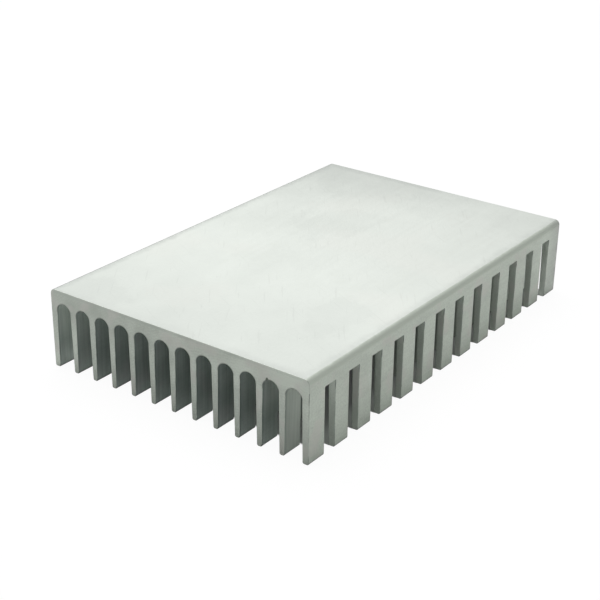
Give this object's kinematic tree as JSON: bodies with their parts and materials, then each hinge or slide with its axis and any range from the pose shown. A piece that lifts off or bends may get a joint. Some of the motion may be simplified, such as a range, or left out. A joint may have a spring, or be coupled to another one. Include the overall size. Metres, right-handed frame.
{
  "type": "extruded heat sink",
  "caption": "Rectangular extruded aluminium heat sink: a flat base plate over parallel tapered fins that saw cuts divide into rows of short teeth.",
  "frame": {"origin": "centre of the rectangle that the fin tips stand on", "axes": "+X across the fins, +Y along the extrusion, +Z out of the flat face of the base plate"},
  "size_m": [0.0666, 0.1, 0.018],
  "materials": {
    "mill_aluminium": "bare mill-finish aluminium with fine lines along the extrusion and saw marks on the cut ends and teeth"
  },
  "bodies": {
    "root": {"heat_sink": "mill_aluminium"}
  },
  "joints": []
}
